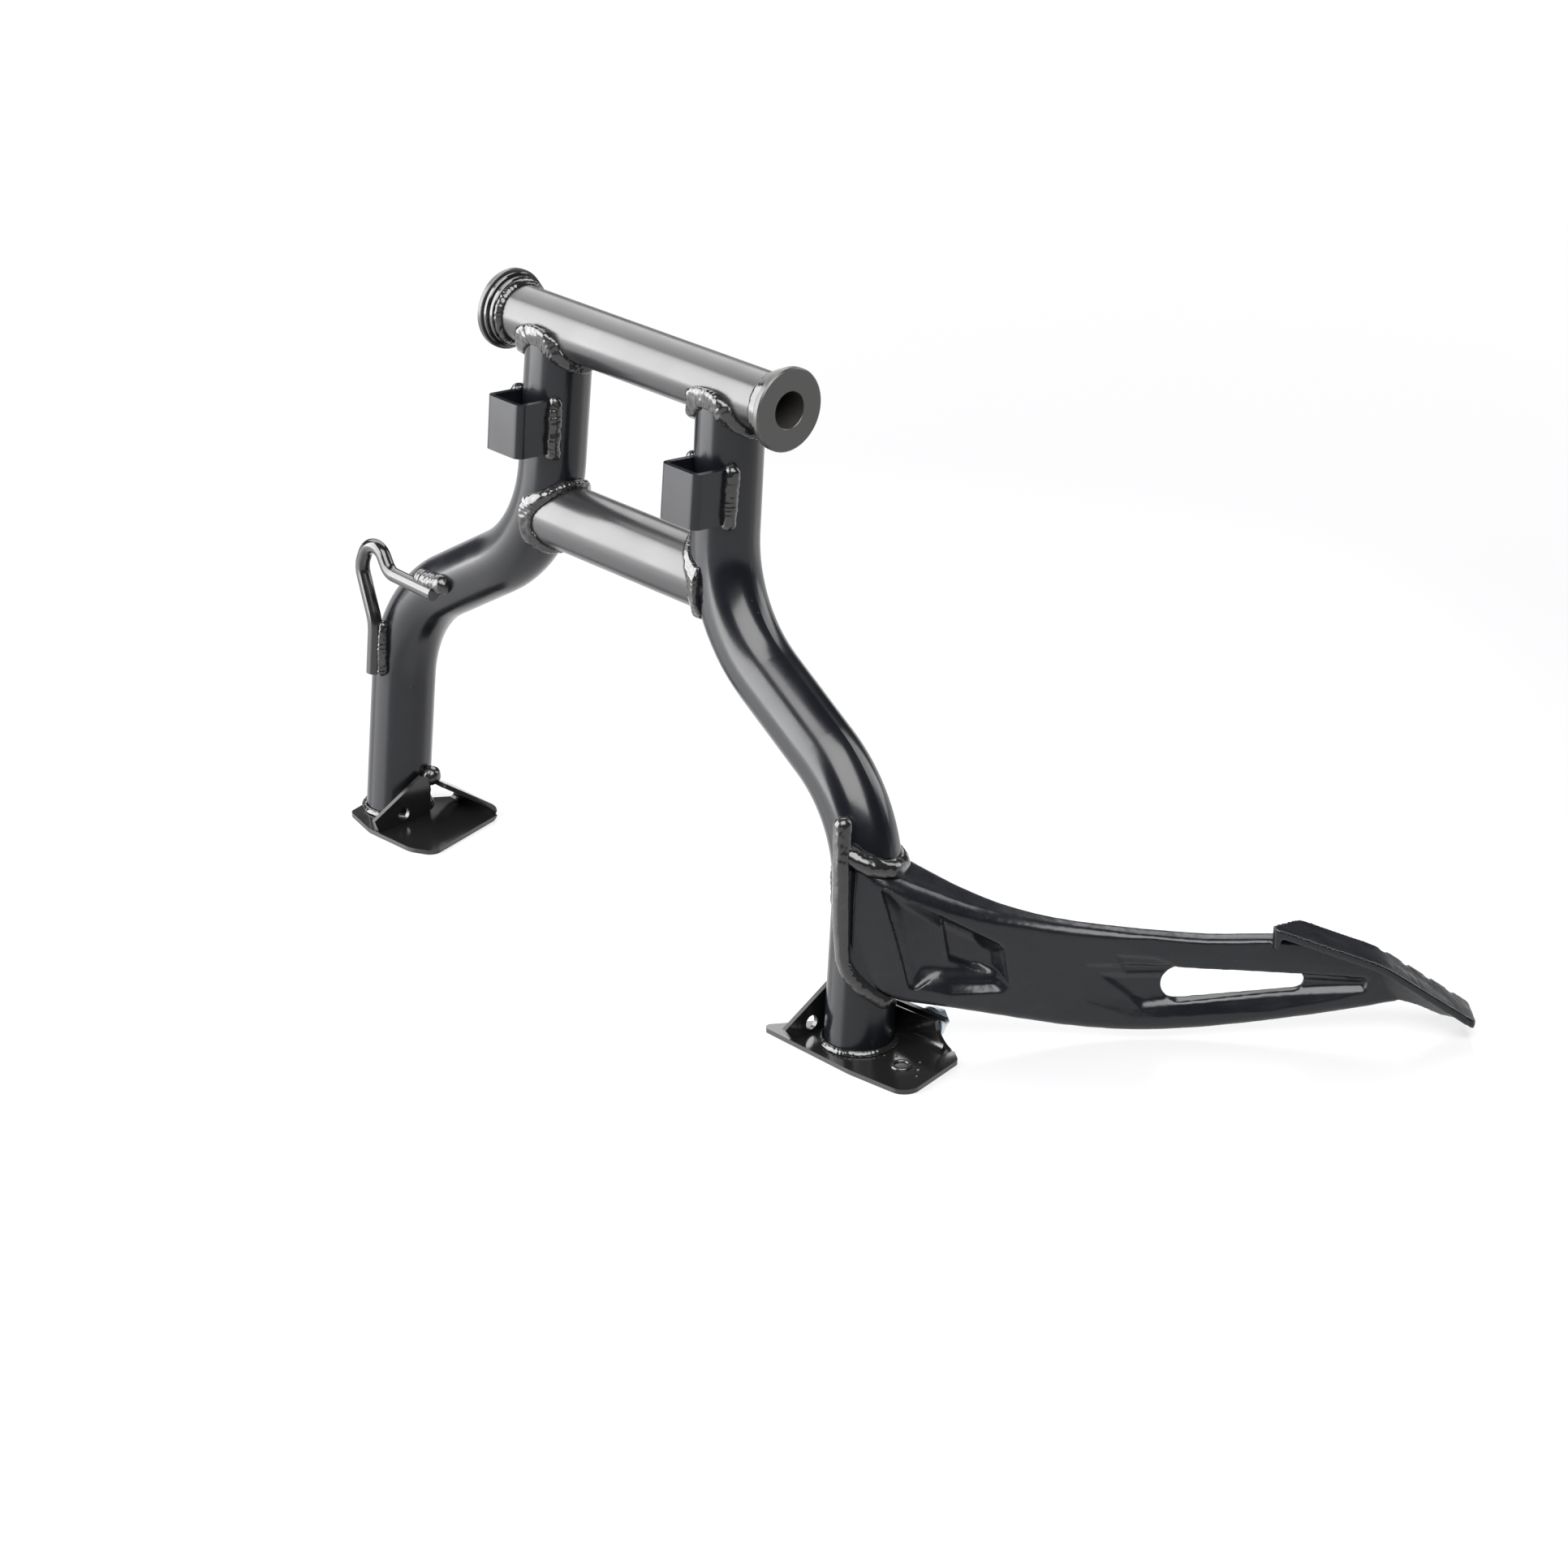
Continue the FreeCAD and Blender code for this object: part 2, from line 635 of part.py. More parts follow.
# Stop tab, screw and washer on the back of the right foot's wall
def hexagon(x, y, z, height):
    """Six-sided prism along Y."""
    radius = HEAD_FLATS / math.sqrt(3.0)
    corners = []
    for i in range(6):
        angle = math.radians(60 * i)
        corners.append(V(x + radius * math.cos(angle), y, z + radius * math.sin(angle)))
    return polygon_face(corners).extrude(V(0, height, 0))


def make_tab():
    top = WALL_H + TAB_TOP
    corners = [V(5.0, 0, 3.0), V(TAB_BODY, 0, 3.0), V(TAB_BODY, 0, WALL_H), V(TAB_LENGTH, 0, WALL_H),
               V(TAB_LENGTH, 0, top), V(5.0, 0, top)]
    plate = polygon_face(corners).extrude(V(0, TAB_T, 0))
    hole = Part.makeCylinder(BOLT_R, TAB_T, V(BOLT_ALONG, 0, WALL_H - BOLT_DROP), Y_AXIS)
    return to_wall(plate.cut(hole))


def make_bolt():
    z = WALL_H - BOLT_DROP
    shank = Part.makeCylinder(BOLT_R, TAB_T + WASHER_T, V(BOLT_ALONG, 0, z), Y_AXIS)
    head = hexagon(BOLT_ALONG, TAB_T + WASHER_T, z, HEAD_H)
    return to_wall(head.fuse(shank).removeSplitter())


def make_washer():
    centre = V(BOLT_ALONG, TAB_T, WALL_H - BOLT_DROP)
    disc = Part.makeCylinder(WASHER_R, WASHER_T, centre, Y_AXIS)
    return to_wall(disc.cut(Part.makeCylinder(BOLT_R, WASHER_T, centre, Y_AXIS)))


# Welds between tubes: what two thickened tubes share, less the tubes
def make_pivot_weld():
    """Right weld: an arch up the front and back of the pivot tube."""
    arch_r = LEG_R + 5.0
    arch = Part.makeCylinder(arch_r, 4 * arch_r, V(LEG_TOP_X, -2 * arch_r, 2.0 - arch_r), Y_AXIS)
    grown = pivot_body(PIVOT_R + TUBE_WELD).common(round_sweep(leg_path(), LEG_R + TUBE_WELD))
    return trimmed(grown.common(arch), [pivot_body(PIVOT_R), leg_up])


def make_cross_weld():
    """Right weld ring of the cross tube."""
    grown = cross_body(CROSS_R + CROSS_WELD).common(round_sweep(leg_path(), LEG_R + CROSS_WELD))
    inner = block(0, LEG_TOP_X + LEG_UPPER_DRIFT, -60, 60, CROSS_Z - 60, CROSS_Z + 60)
    return trimmed(grown.common(inner), [cross_body(CROSS_R), leg_up])


os.makedirs("parts", exist_ok=True)

# Bodies that several pieces are fitted to
leg_up = round_sweep(leg_path(), LEG_R)
leg_up_left = mirror_x(leg_up)
leg_outer = lean(leg_up)
leg_outer_left = mirror_x(leg_outer)
below_plate = block(0, 2 * LEG_FOOT_X, -200, 200, 2 * LEG_END_Z, PLATE_TOP)
leg_above = leg_outer.cut(below_plate)
foot_x = LEG_FOOT_X - 0.5
foot_y = PLATE_TOP * math.tan(LEAN)
lever_x = LEG_SPLAY_X + 0.8
lever_y = LEVER_Z * math.tan(LEAN)

pivot_tube = make_pivot_tube()
save("pivot_tube", pivot_tube)
for name, shape in (("collar", make_collar()), ("bush", make_bush()),
                    ("weld_collar", make_collar_weld()), ("leg", make_leg()),
                    ("weld_pivot", lean(make_pivot_weld())),
                    ("weld_cross", lean(make_cross_weld()))):
    save(name + "_right", shape)
    save(name + "_left", mirror_x(shape))
save("cross_tube", make_cross_tube())

bracket_up = make_bracket()
save("bracket_right", lean(bracket_up))
save("bracket_left", lean(mirror_x(bracket_up)))
for name, side in (("outer", 1.0), ("inner", -1.0)):
    x = LEG_TOP_X + BRACKET_OUT + side * (BRACKET_W / 2.0 + 0.3)
    y = -math.sqrt(LEG_R ** 2 - (BRACKET_W / 2.0) ** 2) - 0.8
    top = BRACKET_TOP - 2.0
    low = BRACKET_TOP - BRACKET_H + 1.0
    line = [V(x, y, top), V(x + 0.5 * side, y - 0.6, (top + low) / 2.0), V(x, y, low)]
    weld = bead(line, BRACKET_WELD, [leg_up, bracket_up])
    save("weld_bracket_right_" + name, lean(weld))
    save("weld_bracket_left_" + name, lean(mirror_x(weld)))

hook_rod = make_hook_rod()
save("hook_rod", lean(hook_rod))
rod_x = -LEG_SPLAY_X
line = [V(rod_x + 36.0, -18.4, -157.0), V(rod_x + 44.0, -19.4, -156.2), V(rod_x + 52.5, -18.2, -155.6)]
weld_rod_upper = bead(line, ROD_WELD_UPPER, [leg_up_left, hook_rod])
save("weld_rod_upper", lean(weld_rod_upper))
line = [V(rod_x + 3.0, -18.8, -194.0), V(rod_x + 3.0, -19.4, -206.0), V(rod_x + 3.2, -18.8, -219.0)]
weld_rod_lower = bead(line, ROD_WELD_LOWER, [leg_up_left, hook_rod])
save("weld_rod_lower", lean(weld_rod_lower))

foot_right = make_right_foot()
save("foot_right", foot_right)
foot_left = make_left_foot()
save("foot_left", foot_left)
gusset_right = make_gusset(25.5, 31.0, 7.6)
save("gusset_right", gusset_right)
gusset_left = mirror_x(make_gusset(30.6, 33.2, 7.4))
save("gusset_left", gusset_left)

foot_lever = make_lever()
save("foot_lever", foot_lever)
save("stop_tab", make_tab())
save("stop_bolt", make_bolt())
save("stop_washer", make_washer())

# Weld rings of the legs on the foot plates
ring_centre = V(foot_x, foot_y, PLATE_TOP)
foot_ring = Part.makeTorus(LEG_R, FOOT_WELD, ring_centre, Z_AXIS)
weld_foot_right = trimmed(foot_ring, [below_plate, leg_outer, gusset_right, foot_right])
save("weld_foot_right", weld_foot_right)
weld_foot_left = trimmed(mirror_x(foot_ring.cut(below_plate)), [leg_outer_left, gusset_left, foot_left])
save("weld_foot_left", weld_foot_left)

seat_x = foot_x - GUSSET_IN + GUSSET_T + 1.0
line = [V(seat_x, -21.6, -284.0), V(seat_x + 0.4, -21.2, -291.0), V(seat_x + 0.1, -21.4, -297.5)]
weld_gusset_right = bead(line, GUSSET_WELD, [leg_outer, gusset_right, foot_right, weld_foot_right])
save("weld_gusset_right", weld_gusset_right)
line = [V(-p.x, p.y, p.z) for p in line]
weld_gusset_left = bead(line, GUSSET_WELD, [leg_outer_left, gusset_left, foot_left, weld_foot_left])
save("weld_gusset_left", weld_gusset_left)
lump = Part.makeSphere(STRIP_WELD, V(-foot_x + 19.4, foot_y + 9.0, PLATE_TOP + 21.0))
weld_strip = trimmed(lump, [leg_outer_left, foot_left, gusset_left, weld_gusset_left])
save("weld_strip_left", weld_strip)

# Weld beads of the lever on the right leg: front cheek, back cheek and a half collar on top
cheek = [V(-12.0, -13.6, -182.0), V(-12.4, -15.6, -192.0), V(-12.0, -18.0, -204.0),
         V(-12.3, -18.4, -222.0), V(-11.9, -18.2, -240.0), V(-10.2, -18.8, -256.0),
         V(-3.0, -20.0, -266.0), V(8.0, -19.4, -274.0)]
front = bead(cheek, LEVER_WELD, [])
weld_front = trimmed(to_lever(front), [leg_outer, foot_lever])
save("weld_lever_front", weld_front)
back = bead([V(p.x, -p.y, p.z) for p in cheek[2:6]], LEVER_WELD, [])
weld_back = trimmed(to_lever(back), [leg_outer, foot_lever])
save("weld_lever_back", weld_back)
collar_centre = V(0, 0, LEVER_COLLAR_Z)
half_collar = Part.makeTorus(LEG_R + 0.6, LEVER_WELD, collar_centre, Z_AXIS, -180, 180, 270)
half_collar.rotate(collar_centre, Z_AXIS, -135)
half_collar.rotate(collar_centre, Y_AXIS, 23)
weld_top = trimmed(to_lever(half_collar), [leg_outer, foot_lever, weld_front, weld_back])
save("weld_lever_top", weld_top)
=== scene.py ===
import json
import math

import bmesh
import bpy
from mathutils import Matrix, Euler, Vector, noise


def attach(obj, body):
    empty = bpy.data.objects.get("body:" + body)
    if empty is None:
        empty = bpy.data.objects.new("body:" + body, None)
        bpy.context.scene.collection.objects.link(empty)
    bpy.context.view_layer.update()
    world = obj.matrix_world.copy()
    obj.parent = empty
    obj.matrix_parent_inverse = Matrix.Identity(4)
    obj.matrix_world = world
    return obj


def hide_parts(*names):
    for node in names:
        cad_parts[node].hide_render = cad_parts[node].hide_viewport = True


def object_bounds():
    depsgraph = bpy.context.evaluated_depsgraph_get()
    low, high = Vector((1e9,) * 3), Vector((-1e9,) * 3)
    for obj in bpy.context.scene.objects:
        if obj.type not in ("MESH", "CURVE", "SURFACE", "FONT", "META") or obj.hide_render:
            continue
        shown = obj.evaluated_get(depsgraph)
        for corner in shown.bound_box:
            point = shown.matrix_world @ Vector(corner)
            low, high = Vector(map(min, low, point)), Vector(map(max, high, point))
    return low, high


MM = 0.001

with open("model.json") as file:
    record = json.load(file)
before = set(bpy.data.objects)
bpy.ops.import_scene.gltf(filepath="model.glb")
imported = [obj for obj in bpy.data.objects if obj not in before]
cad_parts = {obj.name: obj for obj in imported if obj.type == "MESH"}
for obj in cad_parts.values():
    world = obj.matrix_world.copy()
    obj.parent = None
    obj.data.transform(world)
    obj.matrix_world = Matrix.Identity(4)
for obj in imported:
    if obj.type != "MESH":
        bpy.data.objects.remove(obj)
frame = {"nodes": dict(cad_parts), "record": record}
cad_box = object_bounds()
nodes = frame["nodes"]
sole_z = frame["record"]["mounts"][1]["pos_m"][2]

# Camera at the photograph's angle
CAMERA_AZIMUTH = 47.406
CAMERA_ELEVATION = 24.859
CAMERA_DISTANCE = 2042.1 * MM
CAMERA_LENS = 93.71
CAMERA_SENSOR = 36.0
LOOK_AT = Vector((113.4, -9.3, -193.8)) * MM

# Floor, which glows more away from the stand, and the dim world round it
FLOOR_SIZE = 60.0
FLOOR_COLOUR = (0.17, 0.17, 0.175, 1.0)
FLOOR_ROUGHNESS = 0.30
FLOOR_GLOW_NEAR = 0.58
FLOOR_GLOW_FAR = 1.05
FLOOR_NEAR = 0.7
FLOOR_FAR = 2.6
WORLD_COLOUR = (0.9, 0.95, 1.0, 1.0)
WORLD_GLOW = 0.05

# Softboxes: metres right of the stand, towards the camera and up, then size and watts
SOFTBOXES = (
    ("key_left", -1.5, 0.1, 0.55, (1.7, 1.7), 104.0),
    ("back_soft", -0.3, -1.3, 1.1, (2.0, 1.1), 24.0),
    ("front_top", 0.2, 0.9, 1.45, (1.7, 1.5), 74.0),
    ("rim_right", 1.5, -0.8, 0.7, (0.8, 1.2), 13.0),
)

# Stand sizes that the welds and the lever follow
LEAN = math.radians(4.93)
LEG_TOP_X = 65.4 * MM
LEG_R = 17.5 * MM
PIVOT_R = 15.0 * MM
CROSS_Z = -99.0 * MM
FOOT_X = 186.5 * MM
LEVER_TURN = math.radians(49.0)
LEVER_WAY = Vector((math.cos(LEVER_TURN), math.sin(LEVER_TURN), 0))
LEVER_INWARD = Vector((-math.sin(LEVER_TURN), math.cos(LEVER_TURN), 0))
LEVER_ROOT = Vector((185.0, -20.27, 0.0)) * MM
LEVER_COLLAR_X = 184.2 * MM
LEVER_COLLAR_Z = -205 * MM

# Forged lever: mesh, crowned cheeks and the root's wrap round the leg
LEVER_VOXEL = 0.8 * MM
LEVER_SMOOTHING = 3
CROWN_DEPTH = 1.3 * MM
CROWN_MIDDLE = ((0.0, -240.0), (16.0, -243.0), (54.0, -258.0), (94.0, -269.0), (130.0, -274.0))
CROWN_HALF = 32.0 * MM
CROWN_END = 120.0 * MM
CROWN_FADE = 0.5 * CROWN_END
WRAP_DEPTH = 3.0 * MM
WRAP_START = 10.0 * MM
WRAP_LENGTH = 20.0 * MM

# Outlines of the lever's hollows in millimetres, as distance from the root and height
POCKET = ((6.8, -212.1), (68.9, -250.9), (72.0, -272.8), (20.7, -267.0))
RECESS = ((112.0, -267.5), (252.0, -273.5), (248.0, -281.0), (137.0, -289.5))
# This outline turns inward at its second corner, so only its part up to 172 mm is sunk
BELOW_RIB = ((118.0, -248.0), (143.0, -259.2), (256.0, -268.5), (252.0, -276.0), (128.0, -270.0))
# Each hollow's outline, extra depth and width of wall
HOLLOWS = ((POCKET, 3.2 * MM, 9.0 * MM), (RECESS, 1.6 * MM, 4.5 * MM), (BELOW_RIB, 1.1 * MM, 2.2 * MM))
HOLLOW_SKIN = 2.5 * MM

# Waves and grain of the lever's skin
FORGE_BROAD = 9.0 * MM
FORGE_FINE = 2.6 * MM
FORGE_WAVE = 0.16 * MM
FORGE_GRAIN = 0.05 * MM

# Raised ring of a plug weld on the right foot's plate, and beads of spatter round it
MARK_PLACE = Vector((221.0, -29.9, -303.0)) * MM
MARK_R = 4.5 * MM
MARK_BEAD_R = 1.0 * MM
# Each bead's place from the ring's middle and its radius, in millimetres
SPATTER = ((9.0, 3.0, 0.9), (13.0, -2.0, 0.6), (-9.0, 5.0, 0.8), (4.0, 9.0, 0.7), (-13.0, 1.0, 0.6))
SPATTER_FINENESS = 3

# Weld meshes
WELD_VOXEL = 0.45 * MM
WELD_SMOOTHING = 6
RIPPLE_PITCH = 3.2 * MM
RIPPLE_MIDDLE = 0.6
LUMP_SIZE = 8.0 * MM
SMALL_LUMP_SIZE = 0.35 * LUMP_SIZE
SMALL_LUMP_SHARE = 0.5
WANDER_SIZE = 1.6 * LUMP_SIZE
WANDER_PITCHES = 2.4
ARCH_DROP = 1.3 * PIVOT_R
ARCH_R = 22.0 * MM

# Skins of the beads in millimetres: how far out from the solid, ripple and lumps
PLAIN_SKIN = (1.0, 0.22, 0.7)
PIVOT_SKIN = (1.5, 0.22, 0.7)
CROSS_SKIN = (1.3, 0.22, 0.7)
COLLAR_SKIN = (0.2, 0.2, 0.25)
FOOT_SKIN = (-0.5, 0.15, 0.3)
BRACKET_SKIN = (1.6, 0.22, 0.7)
STRIP_SKIN = (1.0, 0.1, 0.7)
LEVER_FRONT_SKIN = (1.3, 0.05, 0.35)
LEVER_TOP_SKIN = (1.6, 0.06, 0.5)

# Powder coat: scales are features per millimetre, and ranges are cut from noise
COAT_ROUGHNESS = 0.12
CLOUD_SCALE = 0.045
CLOUD_RANGE = (0.3, 0.7)
SPECK_SCALE = 0.22
SPECK_EDGE = (0.03, 0.06)
SPECK_COLOUR = (0.30, 0.31, 0.32, 1.0)
PATCH_SCALE = 0.03
PATCH_RANGE = (0.52, 0.62)
PEEL_HEIGHT = 0.06 * MM


def linked(tree, kind, **inputs):
    """New shader node with some inputs set, by name."""
    node = tree.nodes.new(kind)
    for name, value in inputs.items():
        node.inputs[name.replace("_", " ")].default_value = value
    return node


def new_material(name):
    mat = bpy.data.materials.new(name)
    mat.use_nodes = True
    tree = mat.node_tree
    return mat, tree, tree.nodes["Principled BSDF"]


def object_noise(tree, scale, detail=2.0, roughness=0.5):
    """Noise in object space, its scale given as features per millimetre."""
    place = tree.nodes.new("ShaderNodeTexCoord")
    grain = linked(tree, "ShaderNodeTexNoise", Scale=scale / MM, Detail=detail, Roughness=roughness)
    tree.links.new(place.outputs["Object"], grain.inputs["Vector"])
    return grain.outputs["Fac"]


def ranged(tree, value, low, high, start=0.0, end=1.0):
    """Value from start to end brought to the range from low to high."""
    node = tree.nodes.new("ShaderNodeMapRange")
    tree.links.new(value, node.inputs["Value"])
    for name, number in (("From Min", start), ("From Max", end), ("To Min", low), ("To Max", high)):
        node.inputs[name].default_value = number
    return node.outputs["Result"]


def speck_amount(tree, specks):
    """Small dots that show only in some patches, times the amount asked for."""
    place = tree.nodes.new("ShaderNodeTexCoord")
    dots = linked(tree, "ShaderNodeTexVoronoi", Scale=SPECK_SCALE / MM)
    tree.links.new(place.outputs["Object"], dots.inputs["Vector"])
    near = ranged(tree, dots.outputs["Distance"], 1.0, 0.0, *SPECK_EDGE)
    patch = ranged(tree, object_noise(tree, PATCH_SCALE, 1.0), 0.0, 1.0, *PATCH_RANGE)
    seen = linked(tree, "ShaderNodeMath")
    seen.operation = "MULTIPLY"
    tree.links.new(near, seen.inputs[0])
    tree.links.new(patch, seen.inputs[1])
    amount = linked(tree, "ShaderNodeMath")
    amount.operation = "MULTIPLY"
    amount.inputs[1].default_value = specks
    tree.links.new(seen.outputs[0], amount.inputs[0])
    return amount.outputs[0]


def black_coat(name, base, rough, peel, peel_scale, specks, gloss, coat):
    """Black powder coat: orange peel, uneven gloss and small pale specks."""
    mat, tree, shader = new_material(name)
    shader.inputs["Specular IOR Level"].default_value = gloss
    shader.inputs["Coat Weight"].default_value = coat
    shader.inputs["Coat Roughness"].default_value = COAT_ROUGHNESS
    cloud = object_noise(tree, CLOUD_SCALE, 3.0)
    tree.links.new(ranged(tree, cloud, *rough, *CLOUD_RANGE), shader.inputs["Roughness"])

    tint = tree.nodes.new("ShaderNodeMix")
    tint.data_type = "RGBA"
    tint.inputs["A"].default_value = (*base, 1.0)
    tint.inputs["B"].default_value = SPECK_COLOUR
    tree.links.new(speck_amount(tree, specks), tint.inputs["Factor"])
    tree.links.new(tint.outputs["Result"], shader.inputs["Base Color"])

    bump = tree.nodes.new("ShaderNodeBump")
    bump.inputs["Strength"].default_value = peel
    bump.inputs["Distance"].default_value = PEEL_HEIGHT
    tree.links.new(object_noise(tree, peel_scale), bump.inputs["Height"])
    tree.links.new(bump.outputs["Normal"], shader.inputs["Normal"])
    return mat


def bush_material():
    mat, tree, shader = new_material("bush_dark")
    shader.inputs["Base Color"].default_value = (0.022, 0.021, 0.020, 1.0)
    shader.inputs["Specular IOR Level"].default_value = 0.6
    tree.links.new(ranged(tree, object_noise(tree, 0.3, 3.0), 0.26, 0.42), shader.inputs["Roughness"])
    return mat


def zinc_material():
    mat, tree, shader = new_material("zinc_plate")
    shader.inputs["Metallic"].default_value = 0.75
    hue = tree.nodes.new("ShaderNodeMix")
    hue.data_type = "RGBA"
    hue.inputs["A"].default_value = (0.56, 0.68, 0.76, 1.0)
    hue.inputs["B"].default_value = (0.74, 0.80, 0.84, 1.0)
    tree.links.new(object_noise(tree, 0.2, 3.0), hue.inputs["Factor"])
    tree.links.new(hue.outputs["Result"], shader.inputs["Base Color"])
    tree.links.new(ranged(tree, object_noise(tree, 0.8, 3.0), 0.25, 0.45), shader.inputs["Roughness"])
    return mat


# Rulers tell how far along its bead a point of a weld is
def straight(direction):
    way = Vector(direction).normalized()
    return lambda point: point.dot(way)


def around(centre, axis, radius):
    """Distance round an axis through centre."""
    axis = Vector(axis).normalized()
    side = axis.orthogonal().normalized()
    other = axis.cross(side)
    centre = Vector(centre)
    return lambda point: radius * math.atan2((point - centre).dot(other), (point - centre).dot(side))


def finish_piece(piece, mat):
    """Smooth shading, one material and the stand's body."""
    for face in piece.data.polygons:
        face.use_smooth = True
    piece.data.materials.clear()
    piece.data.materials.append(mat)
    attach(piece, "root")


def finer_piece(node, name, voxel, smoothing, push, mat):
    """Soft copy of a solid that replaces it; push gives each point's move from its normal."""
    piece = bpy.data.objects.new(name, nodes[node].data.copy())
    bpy.context.scene.collection.objects.link(piece)
    remesh = piece.modifiers.new("closed", "REMESH")
    remesh.mode = "VOXEL"
    remesh.voxel_size = voxel
    smooth = piece.modifiers.new("soft", "SMOOTH")
    smooth.iterations = smoothing
    depsgraph = bpy.context.evaluated_depsgraph_get()
    mesh = bpy.data.meshes.new_from_object(piece.evaluated_get(depsgraph))
    piece.modifiers.clear()
    piece.data = mesh

    shape = bmesh.new()
    shape.from_mesh(mesh)
    shape.normal_update()
    for vertex in shape.verts:
        vertex.co = vertex.co + push(vertex.co, vertex.normal)
    shape.to_mesh(mesh)
    shape.free()
    finish_piece(piece, mat)
    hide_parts(node)


def weld_piece(node, ruler, mat, skin=PLAIN_SKIN):
    """Rippled bead made from a weld's solid."""
    out, ripple, lump = (size * MM for size in skin)

    def push(point, normal):
        wander = WANDER_PITCHES * noise.noise(point / WANDER_SIZE) * RIPPLE_PITCH
        wave = abs(math.sin(math.pi * (ruler(point) + wander) / RIPPLE_PITCH)) - RIPPLE_MIDDLE
        small = SMALL_LUMP_SHARE * noise.noise(point / SMALL_LUMP_SIZE)
        swell = noise.noise(point / LUMP_SIZE) + small
        return normal * (out + ripple * wave + lump * swell)

    finer_piece(node, node + "_bead", WELD_VOXEL, WELD_SMOOTHING, push, mat)


def weld_mark(mat):
    """Plug weld's ring and its spatter, half sunk in the right foot's plate."""
    bpy.ops.mesh.primitive_torus_add(major_radius=MARK_R, minor_radius=MARK_BEAD_R)
    piece = bpy.context.object
    piece.name = "plug_weld_mark"
    shape = bmesh.new()
    shape.from_mesh(piece.data)
    for x, y, radius in SPATTER:
        bmesh.ops.create_icosphere(shape, subdivisions=SPATTER_FINENESS, radius=radius * MM,
                                   matrix=Matrix.Translation(Vector((x, y, 0)) * MM))
    bmesh.ops.translate(shape, verts=shape.verts, vec=MARK_PLACE)
    shape.to_mesh(piece.data)
    shape.free()
    finish_piece(piece, mat)


def smooth_step(value):
    """Soft rise from 0 to 1 as the value goes from 0 to 1."""
    value = min(1.0, max(0.0, value))
    return value * value * (3.0 - 2.0 * value)


def along_line(corners, s):
    """Height in metres at distance s of a bent line given in millimetres."""
    for (s0, z0), (s1, z1) in zip(corners, corners[1:]):
        if s <= s1 * MM:
            share = max(0.0, (s - s0 * MM) / ((s1 - s0) * MM))
            return (z0 + (z1 - z0) * share) * MM
    return corners[-1][1] * MM


def inside(corners, s, z):
    """Least distance in metres inside the lines through the edges of a clockwise outline."""
    depths = []
    for i, (s1, z1) in enumerate(corners):
        s0, z0 = corners[i - 1]
        run = math.hypot(s1 - s0, z1 - z0)
        depths.append(((z1 - z0) * (s - s0 * MM) - (s1 - s0) * (z - z0 * MM)) / run)
    return min(depths)


def lever_piece(mat):
    """Forged lever: soft edges, crowned cheeks that wrap the leg, deeper hollows and a wavy skin."""
    def push(point, normal):
        s = (point - LEVER_ROOT).dot(LEVER_WAY)
        broad = noise.noise(point / FORGE_BROAD)
        fine = noise.noise(point / FORGE_FINE)
        skin = FORGE_WAVE * broad + FORGE_GRAIN * fine
        off = (point.z - along_line(CROWN_MIDDLE, s)) / CROWN_HALF
        crown = CROWN_DEPTH * min(1.0, off * off) * smooth_step((CROWN_END - s) / CROWN_FADE)
        wrap = WRAP_DEPTH * (max(0.0, WRAP_START - s) / WRAP_LENGTH) ** 2
        depth = 0.0
        for outline, most, wall in HOLLOWS:
            depth += most * smooth_step(inside(outline, s, point.z) / wall)
        side = (point - LEVER_ROOT).dot(LEVER_INWARD)
        depth *= smooth_step(abs(side) / HOLLOW_SKIN) * (-1.0 if side > 0 else 1.0)
        return normal * (skin - crown - wrap) + LEVER_INWARD * depth

    finer_piece("foot_lever", "foot_lever_forged", LEVER_VOXEL, LEVER_SMOOTHING, push, mat)


def leaned(x, y, z):
    """Point of the upright leg frame in the standing pose."""
    return Vector((x, y * math.cos(LEAN) + z * math.sin(LEAN), z * math.cos(LEAN) - y * math.sin(LEAN)))


def make_side_welds(name, side, mat):
    """Beads that both legs have."""
    leg_axis = leaned(0, 0, 1)
    arch = Vector((side * LEG_TOP_X, 0, -ARCH_DROP))
    weld_piece("weld_pivot_" + name, around(arch, (0, 1, 0), ARCH_R), mat, PIVOT_SKIN)
    cross = leaned(0, 0, CROSS_Z)
    weld_piece("weld_cross_" + name, around(cross, (1, 0, 0), LEG_R), mat, CROSS_SKIN)
    weld_piece("weld_collar_" + name, around((0, 0, 0), (1, 0, 0), PIVOT_R), mat, COLLAR_SKIN)
    foot = Vector((side * FOOT_X, sole_z * math.tan(LEAN), sole_z))
    weld_piece("weld_foot_" + name, around(foot, (0, 0, 1), LEG_R), mat, FOOT_SKIN)
    weld_piece("weld_gusset_" + name, straight((0, 0, 1)), mat)
    for part in ("outer", "inner"):
        weld_piece("weld_bracket_" + name + "_" + part, straight(leg_axis), mat, BRACKET_SKIN)


def make_welds(mat):
    make_side_welds("right", 1.0, mat)
    make_side_welds("left", -1.0, mat)
    weld_piece("weld_strip_left", straight((1, 0, 0)), mat, STRIP_SKIN)
    weld_piece("weld_rod_upper", straight((1, 0, 0)), mat)
    weld_piece("weld_rod_lower", straight((0, 0, 1)), mat)
    weld_piece("weld_lever_front", straight(LEVER_WAY - Vector((0, 0, 1))), mat, LEVER_FRONT_SKIN)
    weld_piece("weld_lever_back", straight((0, 0, 1)), mat)
    collar = leaned(LEVER_COLLAR_X, 0, LEVER_COLLAR_Z)
    weld_piece("weld_lever_top", around(collar, leaned(0, 0, 1), LEG_R), mat, LEVER_TOP_SKIN)


def dress(name, mat, slot):
    node = nodes[name]
    node.data.materials.clear()
    node.data.materials.append(mat)


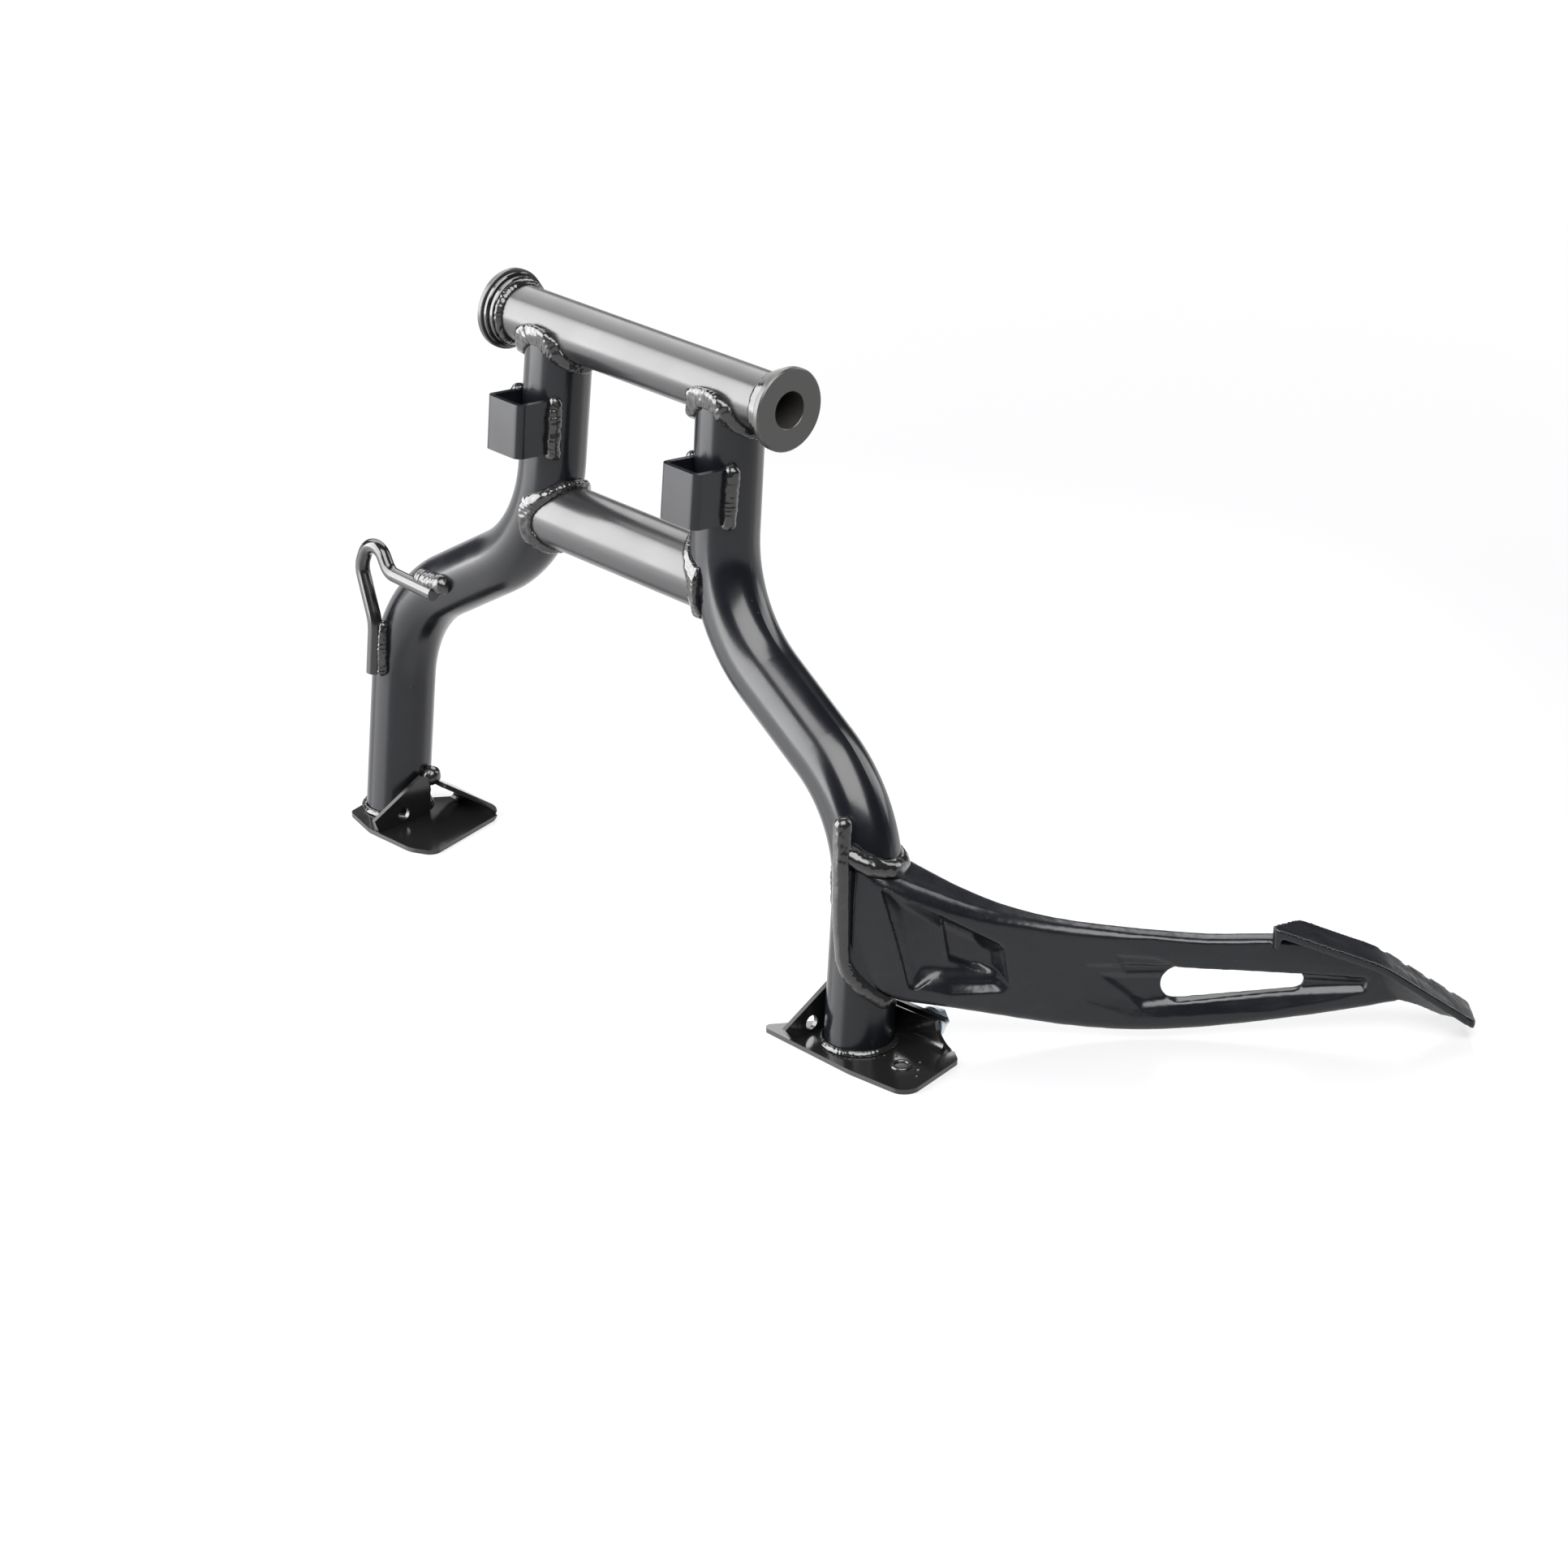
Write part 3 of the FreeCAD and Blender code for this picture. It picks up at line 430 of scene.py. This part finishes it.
def add_floor():
    bpy.ops.mesh.primitive_plane_add(size=FLOOR_SIZE, location=(0, 0, cad_box[0][2]))
    floor = bpy.context.object
    floor.name = "floor"
    mat, tree, shader = new_material("pale_floor")
    shader.inputs["Base Color"].default_value = FLOOR_COLOUR
    shader.inputs["Roughness"].default_value = FLOOR_ROUGHNESS
    shader.inputs["Emission Color"].default_value = (1.0, 1.0, 1.0, 1.0)
    place = tree.nodes.new("ShaderNodeTexCoord")
    reach = linked(tree, "ShaderNodeVectorMath")
    reach.operation = "LENGTH"
    tree.links.new(place.outputs["Object"], reach.inputs[0])
    glow = ranged(tree, reach.outputs["Value"], FLOOR_GLOW_NEAR, FLOOR_GLOW_FAR, FLOOR_NEAR, FLOOR_FAR)
    tree.links.new(glow, shader.inputs["Emission Strength"])
    floor.data.materials.append(mat)


def camera_turn():
    return Euler((math.radians(90.0 - CAMERA_ELEVATION), 0, math.radians(CAMERA_AZIMUTH)))


def add_camera():
    turn = camera_turn()
    back = turn.to_matrix().col[2]
    data = bpy.data.cameras.new("camera")
    data.lens = CAMERA_LENS
    data.sensor_width = CAMERA_SENSOR
    camera = bpy.data.objects.new("camera", data)
    camera.rotation_euler = turn
    camera.location = LOOK_AT + back * CAMERA_DISTANCE
    bpy.context.scene.collection.objects.link(camera)
    bpy.context.scene.camera = camera


def add_softbox(name, place, size, power):
    """Area light at a place, aimed at the stand."""
    data = bpy.data.lights.new(name, "AREA")
    data.shape = "RECTANGLE"
    data.size, data.size_y = size
    data.energy = power
    light = bpy.data.objects.new(name, data)
    light.location = place
    light.rotation_euler = (LOOK_AT - place).to_track_quat("-Z", "Y").to_euler()
    bpy.context.scene.collection.objects.link(light)


def add_lights():
    axes = camera_turn().to_matrix()
    right = axes.col[0]
    level = Vector((axes.col[2].x, axes.col[2].y, 0)).normalized()
    top = Vector((0, 0, 1))
    for name, to_right, to_camera, upward, size, power in SOFTBOXES:
        place = LOOK_AT + right * to_right + level * to_camera + top * upward
        add_softbox(name, place, size, power)
    world = bpy.data.worlds.new("studio")
    world.use_nodes = True
    world.node_tree.nodes["Background"].inputs["Color"].default_value = WORLD_COLOUR
    world.node_tree.nodes["Background"].inputs["Strength"].default_value = WORLD_GLOW
    bpy.context.scene.world = world
    bpy.context.scene.view_settings.view_transform = "Standard"


satin = black_coat("black_coat", (0.0035, 0.004, 0.0055), rough=(0.18, 0.27), peel=0.25,
                   peel_scale=0.55, specks=0.25, gloss=0.33, coat=0.15)
tube = black_coat("tube_coat", (0.012, 0.012, 0.013), rough=(0.26, 0.34), peel=0.18,
                  peel_scale=0.40, specks=0.10, gloss=0.52, coat=0.15)
cast = black_coat("lever_coat", (0.0035, 0.0042, 0.0058), rough=(0.24, 0.34), peel=0.75,
                  peel_scale=0.75, specks=0.20, gloss=0.35, coat=0.15)
plate = black_coat("plate_coat", (0.006, 0.006, 0.006), rough=(0.10, 0.20), peel=0.30,
                   peel_scale=0.45, specks=0.30, gloss=0.5, coat=0.3)
glossy = black_coat("weld_black", (0.008, 0.008, 0.008), rough=(0.14, 0.24), peel=0.25,
                    peel_scale=0.9, specks=0.0, gloss=0.5, coat=0.4)
bush = bush_material()
zinc = zinc_material()

dressed = {"bush_right": (bush, "bush"), "bush_left": (bush, "bush"),
           "stop_bolt": (zinc, "zinc"), "stop_washer": (zinc, "zinc"),
           "pivot_tube": (tube, "black_coat"), "cross_tube": (tube, "black_coat"),
           "foot_lever": (cast, "black_coat"), "foot_right": (plate, "black_coat"),
           "foot_left": (plate, "black_coat"), "gusset_right": (plate, "black_coat"),
           "gusset_left": (plate, "black_coat"), "collar_right": (plate, "black_coat"),
           "collar_left": (plate, "black_coat"), "hook_rod": (plate, "black_coat")}
for name in nodes:
    if name.startswith("weld_"):
        dress(name, glossy, "weld_coat")
    else:
        dress(name, *dressed.get(name, (satin, "black_coat")))

make_welds(glossy)
weld_mark(glossy)
lever_piece(cast)
add_floor()
add_lights()
add_camera()
